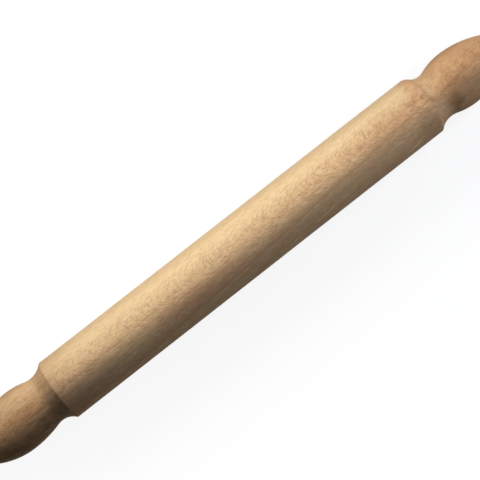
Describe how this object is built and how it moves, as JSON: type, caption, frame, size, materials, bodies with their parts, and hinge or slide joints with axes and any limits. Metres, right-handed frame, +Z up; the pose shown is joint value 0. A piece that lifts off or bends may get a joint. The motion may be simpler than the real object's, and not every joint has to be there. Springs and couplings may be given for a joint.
{
  "type": "rolling pin",
  "caption": "One-piece turned beech rolling pin: a straight cylindrical barrel with a cove, a neck and a bulb grip at each end, for rolling dough by hand.",
  "frame": {"origin": "on the pin's axis, at the middle of the barrel", "axes": "+X along the pin's axis from one grip to the other, +Z up, the pin lying on its side"},
  "size_m": [0.457, 0.045, 0.045],
  "materials": {
    "beech": "bare beech, turned and fine sanded, soft satin"
  },
  "bodies": {
    "root": {"rolling_pin": "beech"}
  },
  "joints": []
}
